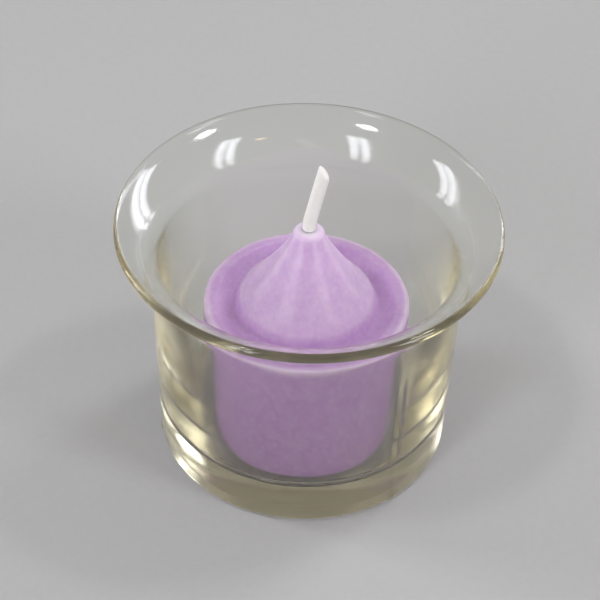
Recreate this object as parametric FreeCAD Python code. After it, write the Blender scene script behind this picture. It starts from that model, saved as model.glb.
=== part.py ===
import FreeCAD, Part
import math
import os

# A flared votive cup of pressed glass with a moulded votive candle standing loose in it.
# Millimetres, +Z up. The origin is the centre of the cup's foot, on the surface the cup stands on.
# The front is -Y, and the wick leans towards +X.

Vector = FreeCAD.Vector
AXIS_Z = Vector(0, 0, 1)

# ---- Driving dimensions: the glass cup, which is sized outwards from the candle it holds ----
CUP_HEIGHT = 50.0           # foot to the top of the lip
CANDLE_PLAY = 2.4           # how far the candle can slide off centre before it meets the floor's fillet
FLARE_OVERHANG = 8.35       # how far the lip stands out past the outside wall carried down to the foot
LIP_THICK = 1.8             # thickness of the flare, and diameter of its rounded edge
FLARE_END_DEG = 70.0        # how far the flare has curled over, from upright, where the lip rounds off
WALL_DRAFT_DEG = 2.6        # outside wall's draft
BORE_DRAFT_DEG = 7.0        # inside wall's draft, so the wall thickens towards the base
BASE_THICK = 6.1            # standing surface to the inside floor
FLOOR_FILLET = 3.7          # inside corner of floor and wall
HEEL_RADIUS = 1.2           # outside corner of base and wall
FOOT_RING_WIDTH = 5.4       # the flat ring that the cup stands on, round the hollow under its base
PUNT_DEPTH = 0.8            # depth of that hollow

# ---- Driving dimensions: the candle ----
CANDLE_DIA = 38.0           # across the shoulder
CANDLE_DRAFT_DEG = 1.5      # side's draft, narrower at the bottom
SIDE_HEIGHT = 27.4          # candle's bottom to its shoulder
SHOULDER_RADIUS = 0.9
BOTTOM_RADIUS = 1.2
CONE_HEIGHT = 17.4          # shoulder to the little flat that the wick comes out of
CONE_FOOT_RADIUS = 1.6      # rounding where the cone drops into the ring
CONE_FOOT_TURN_DEG = 50.0   # how far that rounding turns before the flank leaves it
CONE_TOP_LAND = 0.6         # flat left round the wick
CONE_WAIST_DIA = 10.2       # the flank is hollow: this is its width, WAIST_HEIGHT over the shoulder
WAIST_HEIGHT = 11.0
RING_WIDTH = 6.2            # from the candle's side in to the foot of the cone
RING_DEPTH = 1.3            # how deep the ring is dished
RING_SAG = 0.25             # how far the dish bows below the straight line across it
RING_LAND = 1.5             # flat rim of the shoulder outside the dish
FLUTE_COUNT = 8
FLUTE_DEPTH = 0.35
FLUTE_RADIUS = 5.0
FLUTE_MARGIN = 1.5          # a flute starts and fades out this far inside the straight of the flank
CANDLE_STANDS_OFF = 0.05    # wax to glass, under the candle and where it meets the fillet

# ---- Driving dimensions: the wick and its tab ----
WICK_DIA = 2.4
CORE_DIA = 0.9
WICK_RISE = 13.7            # height of the wick's tip over the cone's flat
WICK_LEAN_DEG = 11.2
WICK_BEND_RADIUS = 12.0
WICK_CUT_DEG = 48.0         # slant of the cut tip off square, falling towards the lean
TAB_DIA = 15.0
TAB_THICK = 0.3
TAB_NECK_HEIGHT = 4.0
TAB_NECK_WALL = 0.25
CAST_GAP = 0.02             # wax shrinks this far from what it was poured around
BRAID_GAP = 0.02            # braid to its core, and neck to the braid

# ---- Worked out from them ----
CANDLE_BOTTOM = BASE_THICK + CANDLE_STANDS_OFF
CANDLE_SHIFT_Y = -CANDLE_PLAY
SHOULDER_Z = CANDLE_BOTTOM + SIDE_HEIGHT
CONE_TOP_Z = SHOULDER_Z + CONE_HEIGHT
CONE_FOOT_DIA = CANDLE_DIA - 2 * RING_WIDTH
CONE_TOP_DIA = WICK_DIA + 2 * CONE_TOP_LAND
WICK_BOTTOM = CANDLE_BOTTOM + TAB_THICK + CAST_GAP
WICK_TIP = CONE_TOP_Z + WICK_RISE

# ---- Cutting tools ----
EDGE_OVERLAP = 1.0          # how far a tool runs past what it cuts
TIP_CUTTER_SIZE = 30.0      # side of the block that cuts off the wick's tip


def point(radius, height):
    """A point of a turned outline, in the XZ plane."""
    return Vector(radius, 0, height)


def line(start, end):
    return Part.LineSegment(start, end).toShape()


def arc(centre, radius, start_deg, end_deg):
    """An arc in the XZ plane from one angle to another, measured from +X towards +Z."""
    spots = []
    for share in (0.0, 0.5, 1.0):
        turn = math.radians(start_deg + (end_deg - start_deg) * share)
        spots.append(centre + Vector(radius * math.cos(turn), 0, radius * math.sin(turn)))
    return Part.Arc(*spots).toShape()


def end_of(edge):
    return edge.valueAt(edge.LastParameter)


def start_of(edge):
    return edge.valueAt(edge.FirstParameter)


def turned(edges):
    """The solid that a closed outline in the XZ plane sweeps round the Z axis."""
    face = Part.Face(Part.Wire(edges))
    return face.revolve(Vector(0, 0, 0), AXIS_Z, 360)


def side_radius(height):
    """Half-width of the candle's drafted side at a height over its bottom."""
    return CANDLE_DIA / 2 - (SIDE_HEIGHT - height) * math.tan(math.radians(CANDLE_DRAFT_DEG))


# ---- Glass cup ----
def flare(foot_r):
    """The outside of the flare: an arc that leaves the wall in line and ends where the lip rounds off.

    foot_r is the wall's radius carried down to the foot. Returns the arc's centre and its radius."""
    draft = math.radians(WALL_DRAFT_DEG)
    end = math.radians(FLARE_END_DEG)
    lip = LIP_THICK / 2
    end_r = foot_r + FLARE_OVERHANG - lip + lip * math.cos(end)
    end_z = CUP_HEIGHT - lip - lip * math.sin(end)
    # The arc spans from draft to end, and its two ends lie this far apart per millimetre of radius.
    across = math.cos(draft) - math.cos(end)
    up = math.sin(end) - math.sin(draft)
    slope = math.tan(draft)
    radius = (end_r - foot_r - slope * end_z) / (across - slope * up)
    centre = point(end_r + radius * math.cos(end), end_z - radius * math.sin(end))
    return centre, radius


def floor_radius(foot_r):
    """Radius of the flat floor inside a cup whose wall, carried down to the foot, has the radius foot_r."""
    centre, outer = flare(foot_r)
    bore = math.radians(BORE_DRAFT_DEG)
    inner = outer + LIP_THICK
    top_r = centre.x - inner * math.cos(bore)
    top_z = centre.z + inner * math.sin(bore)
    fillet_z = BASE_THICK + FLOOR_FILLET
    return top_r - (top_z - fillet_z) * math.tan(bore) - FLOOR_FILLET / math.cos(bore)


def foot_radius():
    """The foot that leaves the candle its play on the floor: floor and foot grow by the same amount."""
    wanted = side_radius(BOTTOM_RADIUS) - BOTTOM_RADIUS + CANDLE_PLAY
    return wanted - floor_radius(0)


def cup_outline():
    """The cup's section, from the middle of its underside, round the lip, to the middle of its floor."""
    foot_r = foot_radius()
    slope = math.tan(math.radians(WALL_DRAFT_DEG))
    heel_r = foot_r + slope * HEEL_RADIUS - HEEL_RADIUS / math.cos(math.radians(WALL_DRAFT_DEG))
    heel = arc(point(heel_r, HEEL_RADIUS), HEEL_RADIUS, -90, -WALL_DRAFT_DEG)

    punt_edge = heel_r - FOOT_RING_WIDTH
    punt_r = (punt_edge ** 2 + PUNT_DEPTH ** 2) / (2 * PUNT_DEPTH)
    punt_half = math.degrees(math.asin(punt_edge / punt_r))
    punt = arc(point(0, PUNT_DEPTH - punt_r), punt_r, 90, 90 - punt_half)

    centre, outer = flare(foot_r)
    inner = outer + LIP_THICK
    flare_out = arc(centre, outer, 180 - WALL_DRAFT_DEG, 180 - FLARE_END_DEG)
    lip_centre = centre + Vector(-1, 0, 0) * (outer + LIP_THICK / 2) * math.cos(math.radians(FLARE_END_DEG))
    lip_centre = lip_centre + AXIS_Z * (outer + LIP_THICK / 2) * math.sin(math.radians(FLARE_END_DEG))
    lip = arc(lip_centre, LIP_THICK / 2, -FLARE_END_DEG, 180 - FLARE_END_DEG)
    flare_in = arc(centre, inner, 180 - FLARE_END_DEG, 180 - BORE_DRAFT_DEG)

    fillet_centre = point(floor_radius(foot_r), BASE_THICK + FLOOR_FILLET)
    fillet = arc(fillet_centre, FLOOR_FILLET, -BORE_DRAFT_DEG, -90)
    return [
        punt,
        line(end_of(punt), start_of(heel)),
        heel,
        line(end_of(heel), start_of(flare_out)),
        flare_out,
        lip,
        flare_in,
        line(end_of(flare_in), start_of(fillet)),
        fillet,
        line(end_of(fillet), point(0, BASE_THICK)),
        line(point(0, BASE_THICK), point(0, PUNT_DEPTH)),
    ]


def glass_cup():
    return turned(cup_outline())


# ---- Candle ----
def wax_outline():
    """The candle's section, from the middle of its bottom to the middle of the cone's flat."""
    bottom_r = side_radius(BOTTOM_RADIUS) - BOTTOM_RADIUS
    bottom = arc(point(bottom_r, CANDLE_BOTTOM + BOTTOM_RADIUS), BOTTOM_RADIUS, -90, 0)
    shoulder_r = side_radius(SIDE_HEIGHT - SHOULDER_RADIUS) - SHOULDER_RADIUS
    shoulder = arc(point(shoulder_r, SHOULDER_Z - SHOULDER_RADIUS), SHOULDER_RADIUS, 0, 90)
    dish_edge = point(shoulder_r - RING_LAND, SHOULDER_Z)
    foot_z = SHOULDER_Z - RING_DEPTH
    foot_centre = point(CONE_FOOT_DIA / 2 - CONE_FOOT_RADIUS, foot_z + CONE_FOOT_RADIUS)
    foot = arc(foot_centre, CONE_FOOT_RADIUS, 0, CONE_FOOT_TURN_DEG)
    moat = point(CONE_FOOT_DIA / 2, foot_z)
    dish = Part.Arc(dish_edge, (dish_edge + moat) * 0.5 - AXIS_Z * RING_SAG, moat).toShape()
    flank = Part.BSplineCurve()
    waist = point(CONE_WAIST_DIA / 2, SHOULDER_Z + WAIST_HEIGHT)
    flank.interpolate([end_of(foot), waist, point(CONE_TOP_DIA / 2, CONE_TOP_Z)])
    return [
        line(point(0, CANDLE_BOTTOM), start_of(bottom)),
        bottom,
        line(end_of(bottom), start_of(shoulder)),
        shoulder,
        line(end_of(shoulder), dish_edge),
        dish,
        line(moat, start_of(foot)),
        foot,
        flank.toShape(),
        line(point(CONE_TOP_DIA / 2, CONE_TOP_Z), point(0, CONE_TOP_Z)),
        line(point(0, CONE_TOP_Z), point(0, CANDLE_BOTTOM)),
    ]


def flute_tools():
    """Round-ended rods laid along the cone's flank, sunk FLUTE_DEPTH into it, with one facing the front."""
    foot = point(CONE_FOOT_DIA / 2 - CONE_FOOT_RADIUS, SHOULDER_Z + CONE_FOOT_RADIUS)
    waist = point(CONE_WAIST_DIA / 2, SHOULDER_Z + WAIST_HEIGHT)
    span = (waist - foot).Length - 2 * FLUTE_MARGIN
    along = (waist - foot).normalize()
    outward = Vector(along.z, 0, -along.x)
    start = foot + outward * (FLUTE_RADIUS - FLUTE_DEPTH) + along * FLUTE_MARGIN
    rod = Part.makeCylinder(FLUTE_RADIUS, span, start, along)
    ends = [Part.makeSphere(FLUTE_RADIUS, start), Part.makeSphere(FLUTE_RADIUS, start + along * span)]
    rod = rod.fuse(ends).removeSplitter()
    tools = []
    for number in range(FLUTE_COUNT):
        tool = rod.copy()
        tool.rotate(Vector(0, 0, 0), AXIS_Z, 360.0 * number / FLUTE_COUNT - 90)
        tools.append(tool)
    return tools


def wick_solid(diameter, bottom, top):
    """A round wick: upright through the wax, a short bend at the cone's flat, then leaning to its cut tip."""
    radius = diameter / 2
    upright = Part.makeCylinder(radius, CONE_TOP_Z - bottom, point(0, bottom))
    disc = Part.Face(Part.Wire(Part.Circle(point(0, CONE_TOP_Z), AXIS_Z, radius).toShape()))
    bend = disc.revolve(point(WICK_BEND_RADIUS, CONE_TOP_Z), Vector(0, 1, 0), WICK_LEAN_DEG)
    lean = math.radians(WICK_LEAN_DEG)
    heading = Vector(math.sin(lean), 0, math.cos(lean))
    bend_end = point(WICK_BEND_RADIUS * (1 - math.cos(lean)), CONE_TOP_Z + WICK_BEND_RADIUS * math.sin(lean))
    straight = (top - bend_end.z) / heading.z + radius
    leaning = Part.makeCylinder(radius, straight, bend_end, heading)
    wick = upright.fuse([bend, leaning]).removeSplitter()
    half = TIP_CUTTER_SIZE / 2
    cutter = Part.makeBox(TIP_CUTTER_SIZE, TIP_CUTTER_SIZE, TIP_CUTTER_SIZE, Vector(-half, -half, 0))
    cutter.rotate(Vector(0, 0, 0), Vector(0, 1, 0), WICK_LEAN_DEG + WICK_CUT_DEG)
    high_side = bend_end + heading * ((top - bend_end.z) / heading.z)
    high_side = high_side - Vector(math.cos(lean), 0, -math.sin(lean)) * (WICK_DIA / 2)
    cutter.translate(high_side)
    return wick.cut(cutter)


def tab_neck_top():
    return WICK_BOTTOM + TAB_NECK_HEIGHT


def in_place(shape):
    """Moves a candle piece from the cup's axis to where the loose candle stands."""
    moved = shape.copy()
    moved.translate(Vector(0, CANDLE_SHIFT_Y, 0))
    return moved


def wick_core():
    return in_place(wick_solid(CORE_DIA, WICK_BOTTOM, WICK_TIP))


def wick_braid():
    hollow = wick_solid(CORE_DIA + 2 * BRAID_GAP, WICK_BOTTOM - EDGE_OVERLAP, WICK_TIP + EDGE_OVERLAP)
    return in_place(wick_solid(WICK_DIA, WICK_BOTTOM, WICK_TIP).cut(hollow))


def wick_sustainer():
    """A round tab with an upright neck crimped on the wick, flush with the candle's bottom."""
    bore = WICK_DIA / 2 + BRAID_GAP
    tab = Part.makeCylinder(TAB_DIA / 2, TAB_THICK, point(0, CANDLE_BOTTOM))
    neck = Part.makeCylinder(bore + TAB_NECK_WALL, tab_neck_top() - CANDLE_BOTTOM, point(0, CANDLE_BOTTOM))
    hole = Part.makeCylinder(bore, TAB_NECK_HEIGHT + EDGE_OVERLAP, point(0, CANDLE_BOTTOM + TAB_THICK))
    return in_place(tab.fuse(neck).cut(hole).removeSplitter())


def wax_candle():
    """The wax, moulded round the wick and its tab."""
    wax = turned(wax_outline())
    wax = wax.cut(flute_tools())
    tab_pocket = Part.makeCylinder(
        TAB_DIA / 2 + CAST_GAP, TAB_THICK + CAST_GAP + EDGE_OVERLAP, point(0, CANDLE_BOTTOM - EDGE_OVERLAP))
    neck_radius = WICK_DIA / 2 + BRAID_GAP + TAB_NECK_WALL + CAST_GAP
    neck_pocket = Part.makeCylinder(
        neck_radius, tab_neck_top() + CAST_GAP - CANDLE_BOTTOM, point(0, CANDLE_BOTTOM))
    wick_hole = Part.makeCylinder(
        WICK_DIA / 2 + CAST_GAP, CONE_TOP_Z - CANDLE_BOTTOM + EDGE_OVERLAP, point(0, CANDLE_BOTTOM))
    return in_place(wax.cut([tab_pocket, neck_pocket, wick_hole]))


PIECES = {
    "glass_cup": glass_cup,
    "wax_candle": wax_candle,
    "wick_braid": wick_braid,
    "wick_core": wick_core,
    "wick_sustainer": wick_sustainer,
}

os.makedirs("parts", exist_ok=True)
for name, make in PIECES.items():
    solid = make()
    box = solid.BoundBox
    print(name, "valid", solid.isValid(), "solids", len(solid.Solids), "volume %.1f" % solid.Volume,
          "z %.2f to %.2f" % (box.ZMin, box.ZMax), "x %.2f to %.2f" % (box.XMin, box.XMax))
    solid.exportStep("parts/" + name + ".step")
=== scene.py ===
import math

import bmesh
import bpy
from mathutils import Matrix, Vector


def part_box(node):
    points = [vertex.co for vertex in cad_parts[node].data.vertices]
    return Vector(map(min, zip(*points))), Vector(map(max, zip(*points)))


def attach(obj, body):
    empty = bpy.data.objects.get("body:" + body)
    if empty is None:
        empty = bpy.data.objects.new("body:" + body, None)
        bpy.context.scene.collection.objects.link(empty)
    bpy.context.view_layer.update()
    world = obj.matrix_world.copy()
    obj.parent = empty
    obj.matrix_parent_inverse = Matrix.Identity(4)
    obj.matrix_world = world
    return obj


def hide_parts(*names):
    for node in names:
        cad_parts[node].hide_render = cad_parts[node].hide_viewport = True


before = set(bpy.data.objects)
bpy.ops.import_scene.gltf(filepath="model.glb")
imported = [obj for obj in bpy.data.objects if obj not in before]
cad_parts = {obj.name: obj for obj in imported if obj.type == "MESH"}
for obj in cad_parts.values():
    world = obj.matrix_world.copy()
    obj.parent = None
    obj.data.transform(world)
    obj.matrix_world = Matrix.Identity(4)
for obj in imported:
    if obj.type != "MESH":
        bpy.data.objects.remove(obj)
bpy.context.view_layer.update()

# A flared votive cup of pressed glass with a moulded lavender votive candle standing loose in it.
# Metres throughout. The underside of the cup's foot is at z = 0, centred on the origin.

MM = 0.001
FRONT = math.radians(-90)            # the side that faces the camera, measured from +X towards +Y

# ---- Sizes read from the frame ----
cup_low, cup_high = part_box("glass_cup")
wax_low, wax_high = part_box("wax_candle")
wick_low, wick_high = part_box("wick_braid")
tab_low, tab_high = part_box("wick_sustainer")

CUP_HEIGHT = cup_high.z
LIP_RADIUS = (cup_high.x - cup_low.x) / 2
CANDLE_Y = (wax_low.y + wax_high.y) / 2
CANDLE_RADIUS = (wax_high.x - wax_low.x) / 2
CANDLE_BOTTOM = wax_low.z
CONE_TOP_Z = wax_high.z
WICK_BOTTOM = wick_low.z
WICK_TIP = wick_high.z
WICK_RADIUS = (wick_high.y - wick_low.y) / 2
TAB_RADIUS = (tab_high.x - tab_low.x) / 2

# ---- Sizes of the pressed glass ----
FLARE_OVERHANG = 8.35 * MM           # the lip stands out this far past the wall carried down to the foot
LIP_THICK = 1.8 * MM
FLARE_END = math.radians(70)         # how far the flare has curled over where the lip rounds off
WALL_DRAFT = math.radians(2.6)
BORE_DRAFT = math.radians(7.0)
BASE_THICK = 6.1 * MM
FLOOR_FILLET = 3.7 * MM
HEEL_RADIUS = 1.2 * MM
FOOT_RING_WIDTH = 5.4 * MM
PUNT_DEPTH = 0.8 * MM
CUP_STEPS = 288                      # facets round the cup, a multiple of its three mould parts
MOULD_PARTS = 3
SEAM_FIRST = FRONT + math.radians(39)    # the first mould seam, to the right of the front
SEAM_RISE = (0.1 * MM, 0.9 * MM)     # heights over the foot between which a seam comes up out of the surface
SEAM_FADE = (0.45, 0.8)              # shares of the cup's height between which it dies out
SEAM_HEIGHT = 0.07 * MM
SEAM_SIDES = (0.15 * MM, 0.75 * MM)  # half-widths of its crest and of its foot
SEAM_NUB = 0.28 * MM                 # height of the nub where it crosses the heel
NUB_SIDES = (0.5 * MM, 1.6 * MM)
NUB_TOP = (1.2 * MM, 3.4 * MM)       # heights between which the nub slopes off
PRESS_WAVE = 0.02 * MM               # how far the pressed surface wanders
PRESS_WAVE_LENGTH = 24 * MM
FOOT_FLAT = 1.5 * MM                 # it wanders only above this height, so that the cup stands flat

# ---- Sizes of the candle ----
CANDLE_DRAFT = math.radians(1.5)
SIDE_HEIGHT = 27.4 * MM
SHOULDER_Z = CANDLE_BOTTOM + SIDE_HEIGHT
BOTTOM_RADIUS = 1.2 * MM
SHOULDER_RADIUS = 0.9 * MM
RING_LAND = 1.5 * MM
RING_DEPTH = 1.3 * MM
RING_SAG = 0.3 * MM                  # the dish bows this far below a straight line
MOAT_ROUND = 1.0 * MM                # fillet where the dish turns up into the cone
CONE_FOOT_ROUND = 2.0 * MM           # rounding from there into the flank
FOOT_STEEPEST = math.radians(68)     # slope between the two
CONE_FOOT_R = 12.0 * MM
FLANK_START = 1.6 * MM               # height over the shoulder where the rounding meets the flank
FLANK_HOLLOW = 1.2                   # power of the flank's hollow curve; 1 would be a straight cone
COLLAR_RADIUS = 3.0 * MM             # the domed top round the wick
COLLAR_ROUND = 1.6 * MM
MENISCUS = 0.25 * MM                 # how far the wax has crept up the wick
GRIP = 0.05 * MM                     # how far its thin edge sinks into the braid
WAX_STEPS = 192
FLUTE_COUNT = 8
FLUTE_DEPTH = 0.75 * MM              # as it would be at the cone's foot; it lessens with the radius
FLUTE_START = (0, 0.16)              # shares of the way up the flank between which a flute deepens
FLUTE_END = (0.8, 0.97)              # and between which it dies out
WAX_RIPPLE = 0.16 * MM               # unevenness left by the mould
WAX_RIPPLE_LENGTH = 7 * MM
WAX_GRAIN = 0.09 * MM                # fine unevenness, at its full height on the shoulder's rim
WAX_GRAIN_LENGTH = 1.4 * MM
GRAIN_IN = (2.2 * MM, 0.5 * MM)      # how far in from the side it starts, and is full
GRAIN_UNDER = (1.6 * MM, 0.4 * MM)   # how far under the shoulder it starts, and is full
GRAIN_ELSEWHERE = 0.35               # its share on the rest of the wax
CAST_GAP = 0.02 * MM
TAB_THICK = 0.3 * MM
NECK_RADIUS = 1.47 * MM              # the tab's neck
NECK_TOP = tab_high.z

# ---- How pale the wax is painted, as shares of the palest: a little wear, mostly painted highlight and painted light ----
PALING_REACH = 2 * MM                 # nothing further than this under the shoulder is painted paler
SCUFF_ALL_OVER = 0.15                # the least on the dish and the cone
CONE_PAINTED_LIGHT = 0.27                    # painted light, added between these shares of the cone's height, so the cone is painted lighter than the dish
CONE_PAINTED_LIGHT_RISE = (0.0, 0.08)
RIDGE_HIGHLIGHT = 0.3                    # painted highlight, added on the ridges between the flutes
RIDGE_HIGHLIGHT_RISE = (0.08, 0.3)
DISH_PAINTED_LIGHT = 0.2                     # painted light, added across the dish towards the rim, so the dish is painted darker, as shade, towards the cone's foot
DISH_PAINTED_LIGHT_IN = (5 * MM, 0.3 * MM)   # how far in from the side it starts, and is full
# painted highlight and glow along the shoulder's rim
RIM_HIGHLIGHT = 0.8
RIM_HIGHLIGHT_IN = (1.5 * MM, 0.7 * MM)
RIM_HIGHLIGHT_UNDER = (1.6 * MM, 0.9 * MM)
COLLAR_PALING_END = 4.2 * MM          # radius at which the collar's paling fades out: whiter wax round the wick, and painted light over the shade where the wick goes in

# ---- Sizes of the wick ----
WICK_LEAN = math.radians(11.2)
WICK_BEND_RADIUS = 12 * MM
WICK_CUT = math.radians(44)          # slant of the cut off square, falling towards the lean
CUT_ROUNDING = 0.45 * MM
CUT_MARGIN = 0.5 * MM                # plain length left under the cut
WAX_FILM = 0.2 * MM                  # how much higher its film of wax makes the wick's tip
WICK_SIDES = 40
BRAID_STRANDS = 6                    # strands that run each way round
BRAID_PITCH = 9 * MM                 # one strand's rise in a whole turn
BRAID_RELIEF = 0.06 * MM
BRAID_FADE_CUT = (0.3 * MM, 1.0 * MM)    # depths under the cut between which the strands come up
BRAID_FADE_WAX = (0, 1.5 * MM)       # heights over the cone between which they do
BRAID_STEP = 0.35 * MM               # rings along the wick

# ---- Sizes of the studio ----
FLOOR_SIZE = 3.0
STANDING_GAP = 0.05 * MM             # air between the cup's foot and the floor
SOFTBOX_DISTANCE = 0.9
WINDOWS = {"far_right": 45, "near_right": 119, "near_left": -147, "left": -77}    # azimuths in degrees
WINDOW_LIFT = 23                     # elevation in degrees
WINDOW_SPLIT = 4.1                   # degrees from a window's middle to the middle of each of its strips
WINDOW_STRIP = {"width": 0.085, "height": 0.8, "watts": 1.45, "tint": "F6F7FF"}
SKYLIGHT = {"width": 0.1, "height": 0.08, "watts": 0.8}
LAMP = {"width": 0.07, "height": 0.03, "watts": 0.12, "tint": "FFCF9E"}
WALL_STRENGTH = 0.5                  # light from the walls at the cup's own height
CEILING_STRENGTH = 0.25              # and from straight above
CAMERA_DISTANCE = 0.4818
CAMERA_ELEVATION = math.radians(42.52)
CAMERA_AIM = Vector((-1.219, 0, 30.98)) * MM
CAMERA_ROLL = math.radians(1.92)
CAMERA_LENS = 156
CAMERA_SENSOR = 36


# ---- Shaping tools ----
def start_outline(name, radius, height):
    """Starts a piece as one point in the XZ plane, from which its section is drawn."""
    bpy.ops.object.select_all(action="DESELECT")
    bpy.ops.mesh.primitive_plane_add(size=MM)
    piece = bpy.context.object
    piece.name = piece.data.name = name
    bpy.ops.object.mode_set(mode="EDIT")
    bpy.ops.mesh.select_mode(type="VERT")
    bpy.ops.mesh.select_all(action="SELECT")
    bpy.ops.mesh.merge(type="CENTER")
    bpy.ops.transform.translate(value=(radius, 0, height))
    return piece


def pen():
    """Where the section has been drawn to: the one point that is selected."""
    shape = bmesh.from_edit_mesh(bpy.context.edit_object.data)
    return next(point.co.copy() for point in shape.verts if point.select)


def draw_to(radius, height, parts=1):
    """Draws a straight run of the section, in equal parts."""
    step = (Vector((radius, 0, height)) - pen()) / parts
    for _ in range(parts):
        bpy.ops.mesh.extrude_region_move(TRANSFORM_OT_translate={"value": step})


def draw_arc(centre_radius, centre_height, turn, steps):
    """Draws an arc of the section round a centre. A positive turn goes from +X towards +Z."""
    bpy.ops.mesh.spin(steps=steps, angle=turn, center=(centre_radius, 0, centre_height), axis=(0, 1, 0))


def turn_round(steps):
    """Sweeps the drawn section once round the Z axis and closes its seam and poles."""
    bpy.ops.mesh.select_all(action="SELECT")
    bpy.ops.mesh.spin(steps=steps, angle=2 * math.pi, center=(0, 0, 0), axis=(0, 0, 1))
    close_surface()


def close_surface():
    """Merges doubled points, turns the faces outwards and shades them smooth."""
    bpy.ops.mesh.select_all(action="SELECT")
    bpy.ops.mesh.remove_doubles(threshold=0.001 * MM)
    bpy.ops.mesh.normals_make_consistent(inside=False)
    bpy.ops.mesh.faces_shade_smooth()
    bpy.ops.object.mode_set(mode="OBJECT")


def push(piece, name, strength, share_of):
    """Moves the surface along its normals: at each point by strength times what share_of gives, 0 to 1."""
    group = piece.vertex_groups.new(name=name)
    for point in piece.data.vertices:
        share = share_of(point.co)
        if share > 0:
            group.add([point.index], share, "REPLACE")
    press = piece.modifiers.new(name, "DISPLACE")
    press.vertex_group = name
    press.strength = strength
    press.mid_level = 0
    bpy.ops.object.modifier_apply(modifier=name)


def waver(piece, name, strength, length, share_of):
    """Gives the surface the slight wandering of a real one: strength high, about length across."""
    group = piece.vertex_groups.new(name=name)
    for point in piece.data.vertices:
        group.add([point.index], share_of(point.co), "REPLACE")
    clouds = bpy.data.textures.new(name, "CLOUDS")
    clouds.noise_scale = length
    wave = piece.modifiers.new(name, "DISPLACE")
    wave.texture = clouds
    wave.texture_coords = "LOCAL"
    wave.strength = strength
    wave.mid_level = 0.5
    wave.vertex_group = name
    bpy.ops.object.modifier_apply(modifier=name)


def paint(piece, name, share_of):
    """Stores a share, 0 to 1, at each point of the surface, for a material to read."""
    layer = piece.data.attributes.new(name, "FLOAT", "POINT")
    for point in piece.data.vertices:
        layer.data[point.index].value = share_of(point.co)


def set_down(piece, x, y):
    """Moves a finished piece's mesh to its place, so that its object stays at the origin."""
    bpy.ops.object.mode_set(mode="EDIT")
    bpy.ops.mesh.select_all(action="SELECT")
    bpy.ops.transform.translate(value=(x, y, 0))
    bpy.ops.object.mode_set(mode="OBJECT")


def smooth_step(low, high, value):
    """0 below low, 1 above high, and a soft rise between them."""
    share = min(max((value - low) / (high - low), 0), 1)
    return share * share * (3 - 2 * share)


def off_middle(point, first, count):
    """How far round a point is from the nearest of count evenly spaced azimuths, one of which is first."""
    part = 2 * math.pi / count
    return (math.atan2(point.y, point.x) - first + part / 2) % part - part / 2


# ---- Material tools ----
def colour(code):
    """An sRGB hex value as linear red, green, blue and alpha."""
    channels = []
    for start in (0, 2, 4):
        value = int(code[start:start + 2], 16) / 255
        channels.append(value / 12.92 if value <= 0.04045 else ((value + 0.055) / 1.055) ** 2.4)
    return (*channels, 1)


def add(tree, kind, settings=None, links=None):
    """Adds a node with its settings, which are properties or sockets by name or number, and its links."""
    node = tree.nodes.new(kind)
    for name, value in (settings or {}).items():
        if isinstance(name, int) or name in node.inputs:
            node.inputs[name].default_value = value
        else:
            setattr(node, name, value)
    for name, source in (links or {}).items():
        tree.links.new(source, node.inputs[name])
    return node


def new_material(name):
    """A material with its node tree and its shader."""
    material = bpy.data.materials.new(name)
    material.use_nodes = True
    return material, material.node_tree, material.node_tree.nodes["Principled BSDF"]


def wear(piece, material):
    """Gives the whole piece one material."""
    piece.data.materials.clear()
    piece.data.materials.append(material)


# ---- Materials ----
def pressed_soda_lime_glass():
    """Soda-lime glass, pressed in an iron mould and fire-polished at the lip.

    The eye gets a clear, faintly straw-coloured body that darkens to olive where it looks through a lot of
    glass, a slow ripple in what it reflects, and a haze from handling that softens what shows through."""
    material, tree, shader = new_material("pressed_soda_lime_glass")
    place = add(tree, "ShaderNodeTexCoord").outputs["Object"]
    handling = add(tree, "ShaderNodeTexNoise", {"Scale": 1 / (9 * MM), "Detail": 4.0}, {"Vector": place})
    haze = add(tree, "ShaderNodeMapRange",
               {"From Min": 0.45, "From Max": 0.75, "To Min": 0.07, "To Max": 0.12},
               {"Value": handling.outputs["Fac"]})
    tree.links.new(haze.outputs["Result"], shader.inputs["Roughness"])
    press_ripple = add(tree, "ShaderNodeTexNoise", {"Scale": 1 / (4 * MM), "Detail": 1.0}, {"Vector": place})
    skin = add(tree, "ShaderNodeBump", {"Strength": 0.06, "Distance": 0.1 * MM},
               {"Height": press_ripple.outputs["Fac"]})
    tree.links.new(skin.outputs["Normal"], shader.inputs["Normal"])
    shader.inputs["Base Color"].default_value = colour("FDFEFC")
    shader.inputs["IOR"].default_value = 1.52
    shader.inputs["Transmission Weight"].default_value = 1.0
    body = add(tree, "ShaderNodeVolumeAbsorption", {"Color": colour("E6DFBC"), "Density": 24.0})
    tree.links.new(body.outputs["Volume"], tree.nodes["Material Output"].inputs["Volume"])
    return material


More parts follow.
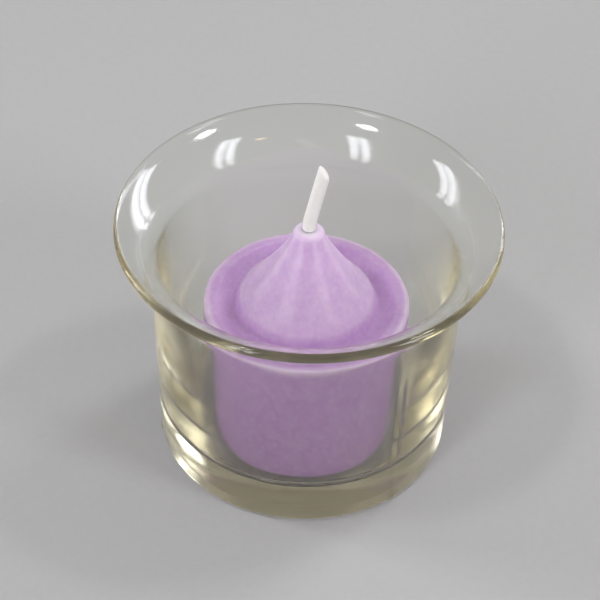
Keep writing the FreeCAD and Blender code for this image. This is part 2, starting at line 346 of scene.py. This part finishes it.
def lavender_paraffin():
    """Paraffin wax, dyed lavender and cast in a metal mould.

    The eye gets a soft, slightly see-through body whose edges glow, cloudy mottling from uneven cooling, a
    dull frosted skin, and paler wax by a stored share: some wear, mostly painted highlight and painted light."""
    material, tree, shader = new_material("lavender_paraffin")
    place = add(tree, "ShaderNodeTexCoord").outputs["Object"]
    clouds = add(tree, "ShaderNodeTexNoise", {"Scale": 1 / (2.6 * MM), "Detail": 5.0, "Roughness": 0.65},
                 {"Vector": place})
    mottle = add(tree, "ShaderNodeMapRange", {"From Min": 0.36, "From Max": 0.66},
                 {"Value": clouds.outputs["Fac"]})
    frost = add(tree, "ShaderNodeTexNoise", {"Scale": 1 / (0.9 * MM), "Detail": 3.0}, {"Vector": place})
    speck = add(tree, "ShaderNodeMapRange", {"From Min": 0.5, "From Max": 0.72},
                {"Value": frost.outputs["Fac"]})
    body = add(tree, "ShaderNodeMixRGB", {"Color1": colour("C898D7"), "Color2": colour("D0A5DC")},
               {"Fac": mottle.outputs["Result"]})
    frosted = add(tree, "ShaderNodeMixRGB", {"Color2": colour("E0C9EA")}, {"Color1": body.outputs["Color"]})
    veil = add(tree, "ShaderNodeMath", {"operation": "MULTIPLY", 1: 0.4}, {0: speck.outputs["Result"]})
    tree.links.new(veil.outputs["Value"], frosted.inputs["Fac"])
    # Paler wax by the stored share: a little wear, mostly painted highlight on rim and ridges, painted light
    # on cone and dish.
    wear_and_light = add(tree, "ShaderNodeAttribute", {"attribute_name": "wear_and_light"})
    patchiness = add(tree, "ShaderNodeMath", {"operation": "MULTIPLY", 1: 0.35}, {0: mottle.outputs["Result"]})
    uneven = add(tree, "ShaderNodeMath", {"operation": "MULTIPLY"},
                 {0: wear_and_light.outputs["Fac"], 1: patchiness.outputs["Value"]})
    paling = add(tree, "ShaderNodeMath", {"operation": "MULTIPLY_ADD", 1: 0.85},
               {0: wear_and_light.outputs["Fac"], 2: uneven.outputs["Value"]})
    # EEDAF0, the palest wax, stands mostly for painted highlight and painted light.
    paled = add(tree, "ShaderNodeMixRGB", {"Color2": colour("EEDAF0"), "use_clamp": True},
                {"Fac": paling.outputs["Value"], "Color1": frosted.outputs["Color"]})
    tree.links.new(paled.outputs["Color"], shader.inputs["Base Color"])
    sheen = add(tree, "ShaderNodeMapRange", {"To Min": 0.42, "To Max": 0.6}, {"Value": clouds.outputs["Fac"]})
    tree.links.new(sheen.outputs["Result"], shader.inputs["Roughness"])
    skin = add(tree, "ShaderNodeBump", {"Strength": 0.25, "Distance": 0.08 * MM},
               {"Height": frost.outputs["Fac"]})
    tree.links.new(skin.outputs["Normal"], shader.inputs["Normal"])
    shader.inputs["IOR"].default_value = 1.44
    shader.inputs["Subsurface Weight"].default_value = 0.7
    shader.inputs["Subsurface Radius"].default_value = (1.0, 0.8, 1.0)
    shader.inputs["Subsurface Scale"].default_value = 2.2 * MM
    return material


def waxed_cotton():
    """Bleached cotton, braided and dipped in clear wax.

    The eye gets a warm white that wax has filled and dulled, with the strands' fine fibres still showing."""
    material, tree, shader = new_material("waxed_cotton_braid")
    place = add(tree, "ShaderNodeTexCoord").outputs["Object"]
    along = add(tree, "ShaderNodeMapping", {"Scale": (1.0, 1.0, 0.2)}, {"Vector": place})
    fibre = add(tree, "ShaderNodeTexNoise", {"Scale": 1 / (0.25 * MM), "Detail": 3.0},
                {"Vector": along.outputs["Vector"]})
    tint = add(tree, "ShaderNodeMixRGB", {"Color1": colour("F5F2EC"), "Color2": colour("FDFBF8")},
               {"Fac": fibre.outputs["Fac"]})
    tree.links.new(tint.outputs["Color"], shader.inputs["Base Color"])
    skin = add(tree, "ShaderNodeBump", {"Strength": 0.35, "Distance": 0.06 * MM},
               {"Height": fibre.outputs["Fac"]})
    tree.links.new(skin.outputs["Normal"], shader.inputs["Normal"])
    dull = add(tree, "ShaderNodeMapRange", {"To Min": 0.45, "To Max": 0.65}, {"Value": fibre.outputs["Fac"]})
    tree.links.new(dull.outputs["Result"], shader.inputs["Roughness"])
    shader.inputs["IOR"].default_value = 1.46
    shader.inputs["Subsurface Weight"].default_value = 0.4
    shader.inputs["Subsurface Radius"].default_value = (1.0, 0.95, 0.85)
    shader.inputs["Subsurface Scale"].default_value = 0.5 * MM
    return material


def twisted_paper():
    """Uncoated paper, twisted into the cord that stiffens the wick.

    The eye gets a creamy matt disc with the paper's turns as faint rings."""
    material, tree, shader = new_material("twisted_paper_cord")
    place = add(tree, "ShaderNodeTexCoord").outputs["Object"]
    turns = add(tree, "ShaderNodeTexWave",
                {"Scale": 1 / (1.2 * MM), "Distortion": 1.5, "bands_direction": "Z"}, {"Vector": place})
    tint = add(tree, "ShaderNodeMixRGB", {"Color1": colour("D9CFB8"), "Color2": colour("EDE6D4")},
               {"Fac": turns.outputs["Fac"]})
    tree.links.new(tint.outputs["Color"], shader.inputs["Base Color"])
    skin = add(tree, "ShaderNodeBump", {"Strength": 0.3, "Distance": 0.05 * MM},
               {"Height": turns.outputs["Fac"]})
    tree.links.new(skin.outputs["Normal"], shader.inputs["Normal"])
    shader.inputs["Roughness"].default_value = 0.85
    return material


def tinned_steel():
    """Thin steel strip, tinned and then stamped.

    The eye gets a soft grey metal with rolling lines and a few duller patches."""
    material, tree, shader = new_material("tinned_steel")
    place = add(tree, "ShaderNodeTexCoord").outputs["Object"]
    rolled = add(tree, "ShaderNodeMapping", {"Scale": (0.06, 1.0, 1.0)}, {"Vector": place})
    lines = add(tree, "ShaderNodeTexNoise", {"Scale": 1 / (0.3 * MM), "Detail": 2.0},
                {"Vector": rolled.outputs["Vector"]})
    patches = add(tree, "ShaderNodeTexNoise", {"Scale": 1 / (3 * MM), "Detail": 3.0}, {"Vector": place})
    tint = add(tree, "ShaderNodeMixRGB", {"Color1": colour("B4B3AE"), "Color2": colour("D2D1CC")},
               {"Fac": lines.outputs["Fac"]})
    tree.links.new(tint.outputs["Color"], shader.inputs["Base Color"])
    dull = add(tree, "ShaderNodeMapRange", {"To Min": 0.22, "To Max": 0.5}, {"Value": patches.outputs["Fac"]})
    tree.links.new(dull.outputs["Result"], shader.inputs["Roughness"])
    skin = add(tree, "ShaderNodeBump", {"Strength": 0.15, "Distance": 0.02 * MM},
               {"Height": lines.outputs["Fac"]})
    tree.links.new(skin.outputs["Normal"], shader.inputs["Normal"])
    shader.inputs["Metallic"].default_value = 1.0
    return material


def matt_board():
    """Pale grey paper board for the floor: matt, with a fine tooth."""
    material, tree, shader = new_material("matt_board")
    place = add(tree, "ShaderNodeTexCoord").outputs["Object"]
    tooth = add(tree, "ShaderNodeTexNoise", {"Scale": 1 / (1.5 * MM), "Detail": 3.0}, {"Vector": place})
    tint = add(tree, "ShaderNodeMixRGB", {"Color1": colour("BDBDBC"), "Color2": colour("C3C3C2")},
               {"Fac": tooth.outputs["Fac"]})
    tree.links.new(tint.outputs["Color"], shader.inputs["Base Color"])
    shader.inputs["Roughness"].default_value = 0.9
    shader.inputs["Specular IOR Level"].default_value = 0.2
    return material


# ---- The glass cup ----
def flare(foot_radius):
    """The centre (radius, height) and the outside radius of the flare's arc."""
    lip = LIP_THICK / 2
    end_r = foot_radius + FLARE_OVERHANG - lip + lip * math.cos(FLARE_END)
    end_z = CUP_HEIGHT - lip - lip * math.sin(FLARE_END)
    across = math.cos(WALL_DRAFT) - math.cos(FLARE_END)
    up = math.sin(FLARE_END) - math.sin(WALL_DRAFT)
    slope = math.tan(WALL_DRAFT)
    outside = (end_r - foot_radius - slope * end_z) / (across - slope * up)
    return end_r + outside * math.cos(FLARE_END), end_z - outside * math.sin(FLARE_END), outside


def seam_share(point):
    """How strongly a mould seam shows: thin lines up the outside, each with a nub at the heel."""
    radius = math.hypot(point.x, point.y)
    outside_radius = LIP_RADIUS - FLARE_OVERHANG + point.z * math.tan(WALL_DRAFT)
    if point.z > CUP_HEIGHT * SEAM_FADE[1] or radius < outside_radius - HEEL_RADIUS:
        return 0
    aside = abs(off_middle(point, SEAM_FIRST, MOULD_PARTS)) * radius
    thin = 1 - smooth_step(*SEAM_SIDES, aside)
    fade = 1 - smooth_step(*SEAM_FADE, point.z / CUP_HEIGHT)
    nub = (1 - smooth_step(*NUB_SIDES, aside)) * (1 - smooth_step(*NUB_TOP, point.z))
    return max(thin * fade * SEAM_HEIGHT / SEAM_NUB, nub) * smooth_step(*SEAM_RISE, point.z)


def make_cup():
    """Draws the cup's section from the middle of its underside to the middle of its floor and turns it."""
    foot_radius = LIP_RADIUS - FLARE_OVERHANG
    slope = math.tan(WALL_DRAFT)
    heel_radius = foot_radius + slope * HEEL_RADIUS - HEEL_RADIUS / math.cos(WALL_DRAFT)
    punt_edge = heel_radius - FOOT_RING_WIDTH
    punt_sphere = (punt_edge ** 2 + PUNT_DEPTH ** 2) / (2 * PUNT_DEPTH)
    flare_r, flare_z, outside = flare(foot_radius)
    inside = outside + LIP_THICK
    lip_r = flare_r - (outside + LIP_THICK / 2) * math.cos(FLARE_END)
    lip_z = flare_z + (outside + LIP_THICK / 2) * math.sin(FLARE_END)
    bore_top_r = flare_r - inside * math.cos(BORE_DRAFT)
    bore_top_z = flare_z + inside * math.sin(BORE_DRAFT)
    fillet_z = BASE_THICK + FLOOR_FILLET
    bore_foot_r = bore_top_r - (bore_top_z - fillet_z) * math.tan(BORE_DRAFT)
    floor_radius = bore_foot_r - FLOOR_FILLET / math.cos(BORE_DRAFT)
    wall_top_r = flare_r - outside * math.cos(WALL_DRAFT)
    wall_top_z = flare_z + outside * math.sin(WALL_DRAFT)
    fillet_top_r = floor_radius + FLOOR_FILLET * math.cos(BORE_DRAFT)
    fillet_top_z = fillet_z - FLOOR_FILLET * math.sin(BORE_DRAFT)

    cup = start_outline("glass_cup_pressed", 0, PUNT_DEPTH)
    draw_arc(0, PUNT_DEPTH - punt_sphere, -math.asin(punt_edge / punt_sphere), steps=14)
    draw_to(heel_radius, 0, parts=5)
    draw_arc(heel_radius, HEEL_RADIUS, math.pi / 2 - WALL_DRAFT, steps=9)
    draw_to(wall_top_r, wall_top_z, parts=26)
    draw_arc(flare_r, flare_z, -(FLARE_END - WALL_DRAFT), steps=22)
    draw_arc(lip_r, lip_z, math.pi, steps=18)
    draw_arc(flare_r, flare_z, FLARE_END - BORE_DRAFT, steps=26)
    draw_to(fillet_top_r, fillet_top_z, parts=22)
    draw_arc(floor_radius, fillet_z, -(math.pi / 2 - BORE_DRAFT), steps=14)
    draw_to(0, BASE_THICK, parts=14)
    turn_round(CUP_STEPS)
    push(cup, "mould_seams", SEAM_NUB, seam_share)
    waver(cup, "press_wave", PRESS_WAVE, PRESS_WAVE_LENGTH,
          lambda point: smooth_step(FOOT_FLAT, 3 * FOOT_FLAT, point.z))
    wear(cup, pressed_soda_lime_glass())
    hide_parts("glass_cup")
    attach(cup, "cup")


# ---- The wax ----
def flank_radius(share):
    """The cone's radius a share of the way up its flank."""
    return COLLAR_RADIUS + (CONE_FOOT_R - COLLAR_RADIUS) * (1 - share) ** FLANK_HOLLOW


def flute_share(point):
    """How deeply a point of the cone's flank is fluted: not at all on the ridges or near either end."""
    radius = math.hypot(point.x, point.y)
    share = (point.z - SHOULDER_Z - FLANK_START) / (CONE_TOP_Z - SHOULDER_Z - FLANK_START)
    if not 0 < share < 1 or radius < WICK_RADIUS + 2 * CAST_GAP:
        return 0
    hollow = math.cos(off_middle(point, FRONT, FLUTE_COUNT) * FLUTE_COUNT / 2) ** 2
    ends = smooth_step(*FLUTE_START, share) * (1 - smooth_step(*FLUTE_END, share))
    return hollow * ends * radius / CONE_FOOT_R


def rim_share(point, inward, under):
    """How close a point is to the shoulder's rim: 0 at each pair's first distance and 1 at its second."""
    radius = math.hypot(point.x, point.y)
    from_side = smooth_step(CANDLE_RADIUS - inward[0], CANDLE_RADIUS - inward[1], radius)
    return from_side * smooth_step(SHOULDER_Z - under[0], SHOULDER_Z - under[1], point.z)


def grain_share(point):
    """How rough the wax is: most at the shoulder's rim, and a little everywhere else."""
    return max(rim_share(point, GRAIN_IN, GRAIN_UNDER), GRAIN_ELSEWHERE)


def wear_and_light_share(point):
    """How pale the wax is painted: painted highlight on the ridges and the shoulder's rim, painted light on
    the cone, the dish's outer part and round the wick, whiter wax round the wick, and a little wear all over.
    """
    if point.z < SHOULDER_Z - PALING_REACH:
        return 0
    radius = math.hypot(point.x, point.y)
    up = (point.z - SHOULDER_Z) / (CONE_TOP_Z - SHOULDER_Z)
    # Painted highlight on the ridges between the flutes.
    ridge = math.sin(off_middle(point, FRONT, FLUTE_COUNT) * FLUTE_COUNT / 2) ** 4
    ridge = ridge * smooth_step(*RIDGE_HIGHLIGHT_RISE, up) * RIDGE_HIGHLIGHT
    # Painted light on the cone, over a little paleness all over.
    cone = SCUFF_ALL_OVER + CONE_PAINTED_LIGHT * smooth_step(*CONE_PAINTED_LIGHT_RISE, up)
    # Whiter wax round the wick, with painted light over the shade where the wick goes in.
    collar = 1 - smooth_step(WICK_RADIUS + MENISCUS, COLLAR_PALING_END, radius)
    # Painted light across the dish towards the rim, leaving painted shade towards the cone's foot.
    across = smooth_step(CANDLE_RADIUS - DISH_PAINTED_LIGHT_IN[0], CANDLE_RADIUS - DISH_PAINTED_LIGHT_IN[1], radius)
    dish = SCUFF_ALL_OVER + DISH_PAINTED_LIGHT * across
    # Painted highlight and glow along the shoulder's rim.
    rim = RIM_HIGHLIGHT * rim_share(point, RIM_HIGHLIGHT_IN, RIM_HIGHLIGHT_UNDER)
    return max(ridge + cone * (1 - ridge), collar, dish, rim)


def make_wax():
    """Draws the wax's section as one loop, hollow where it was poured round wick and tab, and turns it."""
    slope = math.tan(CANDLE_DRAFT)
    bottom_r = CANDLE_RADIUS - (SIDE_HEIGHT - BOTTOM_RADIUS) * slope - BOTTOM_RADIUS
    shoulder_r = CANDLE_RADIUS - SHOULDER_RADIUS * slope - SHOULDER_RADIUS
    pocket_z = CANDLE_BOTTOM + TAB_THICK + CAST_GAP
    pocket_r = TAB_RADIUS + CAST_GAP
    wick_hole = WICK_RADIUS + CAST_GAP
    neck_hole = NECK_RADIUS + CAST_GAP
    dish_edge = shoulder_r - RING_LAND
    moat_z = SHOULDER_Z - RING_DEPTH
    collar_z = CONE_TOP_Z - MENISCUS
    flank_height = collar_z - SHOULDER_Z - FLANK_START - COLLAR_ROUND
    flank_slope = math.atan(flank_height / (FLANK_HOLLOW * (CONE_FOOT_R - COLLAR_RADIUS)))
    foot_r = CONE_FOOT_R - CONE_FOOT_ROUND * math.sin(flank_slope)
    foot_z = SHOULDER_Z + FLANK_START - CONE_FOOT_ROUND * math.cos(flank_slope)
    steep_r = foot_r + CONE_FOOT_ROUND * math.sin(FOOT_STEEPEST)
    steep_z = foot_z + CONE_FOOT_ROUND * math.cos(FOOT_STEEPEST)
    moat_r = steep_r + MOAT_ROUND * math.sin(FOOT_STEEPEST) + (steep_z - moat_z) / math.tan(FOOT_STEEPEST)
    moat_r = moat_r - MOAT_ROUND * (1 - math.cos(FOOT_STEEPEST)) / math.tan(FOOT_STEEPEST)
    dish_width = dish_edge - moat_r
    dish_parts = 9
    flank_parts = 34

    wax = start_outline("wax_candle_moulded", neck_hole, pocket_z)
    draw_to(pocket_r, pocket_z, parts=3)
    draw_to(pocket_r, CANDLE_BOTTOM)
    draw_to(bottom_r, CANDLE_BOTTOM, parts=8)
    draw_arc(bottom_r, CANDLE_BOTTOM + BOTTOM_RADIUS, math.pi / 2, steps=6)
    draw_to(shoulder_r + SHOULDER_RADIUS, SHOULDER_Z - SHOULDER_RADIUS, parts=36)
    draw_arc(shoulder_r, SHOULDER_Z - SHOULDER_RADIUS, math.pi / 2, steps=7)
    draw_to(dish_edge, SHOULDER_Z, parts=3)
    for number in range(1, dish_parts + 1):
        share = number / dish_parts
        sag = RING_DEPTH * share + RING_SAG * math.sin(math.pi * share)
        draw_to(dish_edge - dish_width * share, SHOULDER_Z - sag)
    draw_arc(moat_r, moat_z + MOAT_ROUND, -FOOT_STEEPEST, steps=6)
    draw_to(steep_r, steep_z, parts=2)
    draw_arc(foot_r, foot_z, FOOT_STEEPEST - flank_slope, steps=5)
    for number in range(1, flank_parts + 1):
        share = number / flank_parts
        draw_to(flank_radius(share), SHOULDER_Z + FLANK_START + flank_height * share)
    draw_arc(COLLAR_RADIUS - COLLAR_ROUND, collar_z - COLLAR_ROUND, math.pi / 2, steps=6)
    draw_to(WICK_RADIUS - GRIP + MENISCUS, collar_z)
    draw_arc(WICK_RADIUS - GRIP + MENISCUS, CONE_TOP_Z, -math.pi / 2, steps=5)
    # The thin edge runs on inside the braid, out of sight, before the section turns down the wick's hole.
    draw_to(WICK_RADIUS - 3 * GRIP, CONE_TOP_Z + GRIP)
    draw_to(wick_hole, collar_z)
    draw_to(wick_hole, NECK_TOP + CAST_GAP, parts=10)
    draw_to(neck_hole, NECK_TOP + CAST_GAP)
    draw_to(neck_hole, pocket_z, parts=2)
    turn_round(WAX_STEPS)
    push(wax, "flutes", -FLUTE_DEPTH, flute_share)
    waver(wax, "mould_ripple", WAX_RIPPLE, WAX_RIPPLE_LENGTH,
          lambda point: smooth_step(CANDLE_BOTTOM, CANDLE_BOTTOM + 2 * MM, point.z))
    waver(wax, "wax_grain", WAX_GRAIN, WAX_GRAIN_LENGTH, grain_share)
    # Stores how pale the wax is painted: a little wear, mostly painted highlight and painted light.
    paint(wax, "wear_and_light", wear_and_light_share)
    set_down(wax, 0, CANDLE_Y)
    wear(wax, lavender_paraffin())
    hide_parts("wax_candle")
    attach(wax, "candle")


# ---- The wick ----
def braid_share(point):
    """How far a strand of the braid stands up at a point of the wick."""
    height = point.z - CONE_TOP_Z
    middle_x = max(height, 0) * math.tan(WICK_LEAN)
    angle = math.atan2(point.y, point.x - middle_x)
    rise = 2 * math.pi * point.z / BRAID_PITCH
    right_hand = math.cos(BRAID_STRANDS * (angle - rise))
    left_hand = math.cos(BRAID_STRANDS * (angle + rise))
    cut = WICK_LEAN + WICK_CUT
    below_cut = (cut_point() - point).dot(Vector((math.sin(cut), 0, math.cos(cut))))
    ends = smooth_step(*BRAID_FADE_CUT, below_cut) * smooth_step(*BRAID_FADE_WAX, height)
    return (0.5 + 0.25 * (right_hand + left_hand)) * ends


def cut_point():
    """The wick's highest point: the side of its cut that faces away from the lean."""
    heading = Vector((math.sin(WICK_LEAN), 0, math.cos(WICK_LEAN)))
    top = bend_end() + heading * ((WICK_TIP + WAX_FILM - bend_end().z) / heading.z)
    return top - Vector((math.cos(WICK_LEAN), 0, -math.sin(WICK_LEAN))) * WICK_RADIUS


def bend_end():
    """Where the wick's bend, just over the cone, ends and its straight lean starts."""
    return Vector((WICK_BEND_RADIUS * (1 - math.cos(WICK_LEAN)), 0,
                   CONE_TOP_Z + WICK_BEND_RADIUS * math.sin(WICK_LEAN)))


def make_wick():
    """Extrudes the braid up through the wax, bends it, cuts its tip on the slant and raises its strands."""
    bpy.ops.object.select_all(action="DESELECT")
    bpy.ops.mesh.primitive_circle_add(vertices=WICK_SIDES, radius=WICK_RADIUS, fill_type="NGON",
                                      location=(0, 0, WICK_BOTTOM))
    wick = bpy.context.object
    wick.name = wick.data.name = "wick_braid_waxed"
    bpy.ops.object.transform_apply(location=True)
    bpy.ops.object.mode_set(mode="EDIT")
    bpy.ops.mesh.select_mode(type="FACE")
    bpy.ops.mesh.select_all(action="SELECT")
    upright = CONE_TOP_Z - WICK_BOTTOM
    rings = round(upright / BRAID_STEP)
    for _ in range(rings):
        bpy.ops.mesh.extrude_region_move(TRANSFORM_OT_translate={"value": (0, 0, upright / rings)})
    bpy.ops.mesh.spin(steps=6, angle=-WICK_LEAN, center=(WICK_BEND_RADIUS, 0, CONE_TOP_Z), axis=(0, 1, 0))
    heading = Vector((math.sin(WICK_LEAN), 0, math.cos(WICK_LEAN)))
    leaning = (WICK_TIP - bend_end().z) / heading.z
    braided = leaning - 2 * WICK_RADIUS * math.tan(WICK_CUT) - CUT_MARGIN
    rings = round(braided / BRAID_STEP)
    for _ in range(rings):
        bpy.ops.mesh.extrude_region_move(TRANSFORM_OT_translate={"value": heading * braided / rings})
    past_cut = leaning - braided + WICK_RADIUS
    bpy.ops.mesh.extrude_region_move(TRANSFORM_OT_translate={"value": heading * past_cut})
    bpy.ops.mesh.select_all(action="SELECT")
    cut = WICK_LEAN + WICK_CUT
    facing = Vector((math.sin(cut), 0, math.cos(cut)))
    bpy.ops.mesh.bisect(plane_co=cut_point(), plane_no=facing, use_fill=True, clear_outer=True)
    bpy.ops.mesh.bevel(offset=CUT_ROUNDING, segments=4, affect="EDGES")
    close_surface()
    push(wick, "strands", BRAID_RELIEF, braid_share)
    set_down(wick, 0, CANDLE_Y)
    wear(wick, waxed_cotton())
    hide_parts("wick_braid")
    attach(wick, "candle")


# ---- Studio ----
def make_floor():
    """Lays a large plain floor just under the cup's foot."""
    bpy.ops.object.select_all(action="DESELECT")
    bpy.ops.mesh.primitive_plane_add(size=FLOOR_SIZE)
    bpy.ops.transform.translate(value=(0, 0, -STANDING_GAP))
    bpy.ops.object.transform_apply(location=True)
    floor = bpy.context.object
    floor.name = floor.data.name = "studio_floor"
    wear(floor, matt_board())


def make_camera():
    """Stands the camera in front of the cup, looking down at it, with its slight roll."""
    back = Vector((0, -math.cos(CAMERA_ELEVATION), math.sin(CAMERA_ELEVATION)))
    right = Vector((1, 0, 0))
    up = right.cross(-back)
    rolled_right = right * math.cos(CAMERA_ROLL) + up * math.sin(CAMERA_ROLL)
    rolled_up = up * math.cos(CAMERA_ROLL) - right * math.sin(CAMERA_ROLL)
    bpy.ops.object.camera_add()
    camera = bpy.context.object
    camera.data.lens = CAMERA_LENS
    camera.data.sensor_width = CAMERA_SENSOR
    camera.data.clip_start = 0.01
    turn = Matrix((rolled_right, rolled_up, back)).transposed().to_4x4()
    camera.matrix_world = Matrix.Translation(CAMERA_AIM + back * CAMERA_DISTANCE) @ turn
    bpy.context.scene.camera = camera


def add_softbox(name, azimuth, elevation, width, height, watts, tint="FFFFFF"):
    """A rectangular soft light that faces the cup. Azimuth is in degrees from +Y towards +X."""
    turn = math.radians(azimuth)
    lift = math.radians(elevation)
    heading = Vector((math.sin(turn) * math.cos(lift), math.cos(turn) * math.cos(lift), math.sin(lift)))
    place = heading * SOFTBOX_DISTANCE
    bpy.ops.object.light_add(type="AREA", location=place)
    light = bpy.context.object
    light.name = light.data.name = name
    light.data.shape = "RECTANGLE"
    light.data.size = width
    light.data.size_y = height
    light.data.energy = watts
    light.data.color = colour(tint)[:3]
    light.rotation_euler = (-place).to_track_quat("-Z", "Y").to_euler()


def light_studio():
    """Lights the cup with four windows, each of two tall strips, a warm lamp, two skylights and the walls.

    The windows light the candle and draw the highlights in the flare. The walls dim towards the ceiling."""
    for name, azimuth in WINDOWS.items():
        for strip, aside in (("a", -WINDOW_SPLIT), ("b", WINDOW_SPLIT)):
            add_softbox("window_%s_%s" % (name, strip), azimuth + aside, WINDOW_LIFT, **WINDOW_STRIP)
    add_softbox("lamp", azimuth=143, elevation=39, **LAMP)
    add_softbox("skylight_right", azimuth=75, elevation=62, **SKYLIGHT)
    add_softbox("skylight_left", azimuth=-124, elevation=68, **SKYLIGHT)
    world = bpy.data.worlds.new("studio_walls")
    bpy.context.scene.world = world
    world.use_nodes = True
    tree = world.node_tree
    heading = add(tree, "ShaderNodeTexCoord").outputs["Generated"]
    height = add(tree, "ShaderNodeSeparateXYZ", links={"Vector": heading})
    strength = add(tree, "ShaderNodeMapRange", {"To Min": WALL_STRENGTH, "To Max": CEILING_STRENGTH},
                   {"Value": height.outputs["Z"]})
    walls = tree.nodes["Background"]
    walls.inputs["Color"].default_value = colour("F2EFE8")
    tree.links.new(strength.outputs["Result"], walls.inputs["Strength"])


def set_light_paths():
    """Lets light bounce often enough to get out of the thick glass, and shows colours as they are."""
    cycles = bpy.context.scene.cycles
    cycles.max_bounces = 48
    cycles.glossy_bounces = 40
    cycles.transmission_bounces = 40
    bpy.context.scene.view_settings.view_transform = "Standard"


make_cup()
make_wax()
make_wick()
wear(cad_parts["wick_core"], twisted_paper())
wear(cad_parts["wick_sustainer"], tinned_steel())
make_floor()
make_camera()
light_studio()
set_light_paths()
